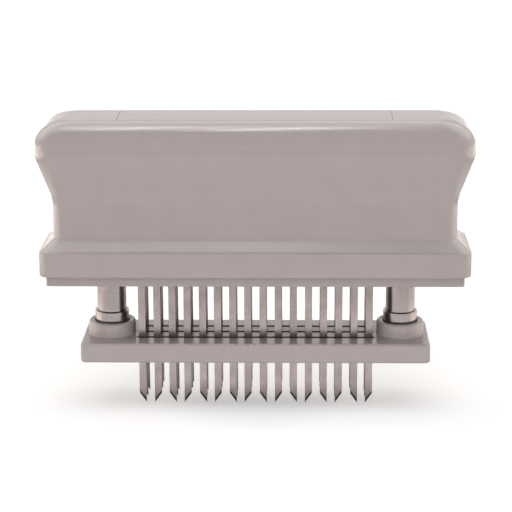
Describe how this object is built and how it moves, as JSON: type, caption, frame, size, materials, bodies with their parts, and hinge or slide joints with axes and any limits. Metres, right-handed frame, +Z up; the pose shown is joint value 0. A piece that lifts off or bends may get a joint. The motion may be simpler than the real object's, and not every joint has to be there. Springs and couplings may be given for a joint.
{
  "type": "blade meat tenderizer",
  "caption": "Hand meat tenderizer: a waisted plastic handle with rows of thin steel blades that pass through a slotted base plate, which slides on steel columns and is pushed down by springs.",
  "frame": {"origin": "Middle of the tool seen from above, at the height of the blade tips, which are its lowest points as drawn.", "axes": "+X along the handle, to the right as seen in the picture; +Y through the tool, away from the picture's camera; +Z up."},
  "size_m": [0.1444, 0.033, 0.0977],
  "materials": {
    "handle_plastic": "warm light grey moulded plastic, satin gloss",
    "dark_plastic": "dark grey moulded plastic inside the handle",
    "blade_steel": "stainless strip, ground at the tips",
    "column_steel": "stainless bar, turned and polished",
    "screw_steel": "stainless fasteners",
    "spring_steel": "stainless spring wire",
    "bush_bronze": "plain bronze bearing"
  },
  "bodies": {
    "handle": {"handle_shell": "handle_plastic", "top_panel": "handle_plastic", "bottom_cover": "handle_plastic", "blade_block": "dark_plastic", "clamp_plate": "dark_plastic", "blades_front": "blade_steel", "blades_middle": "blade_steel", "blades_rear": "blade_steel", "clamp_screws": "screw_steel", "cover_screws": "screw_steel", "bush_left": "bush_bronze", "bush_right": "bush_bronze", "spring_left": "spring_steel", "spring_right": "spring_steel", "spring_cap_left": "dark_plastic", "spring_cap_right": "dark_plastic"},
    "press_plate": {"base_plate": "handle_plastic", "column_left": "column_steel", "column_right": "column_steel", "collar_left": "column_steel", "collar_right": "column_steel", "plate_screw_left": "screw_steel", "plate_screw_right": "screw_steel", "plate_washer_left": "screw_steel", "plate_washer_right": "screw_steel", "circlip_left": "spring_steel", "circlip_right": "spring_steel", "spring_washer_left": "screw_steel", "spring_washer_right": "screw_steel"}
  },
  "joints": [
    {"name": "plate_slide", "type": "slide", "parent": "handle", "child": "press_plate", "axis": [0, 0, 1], "range_m": [-0.0175, 0.011], "stiffness_N_per_m": 640, "springref_m": -0.028, "deforming": ["spring_left", "spring_right"]}
  ]
}
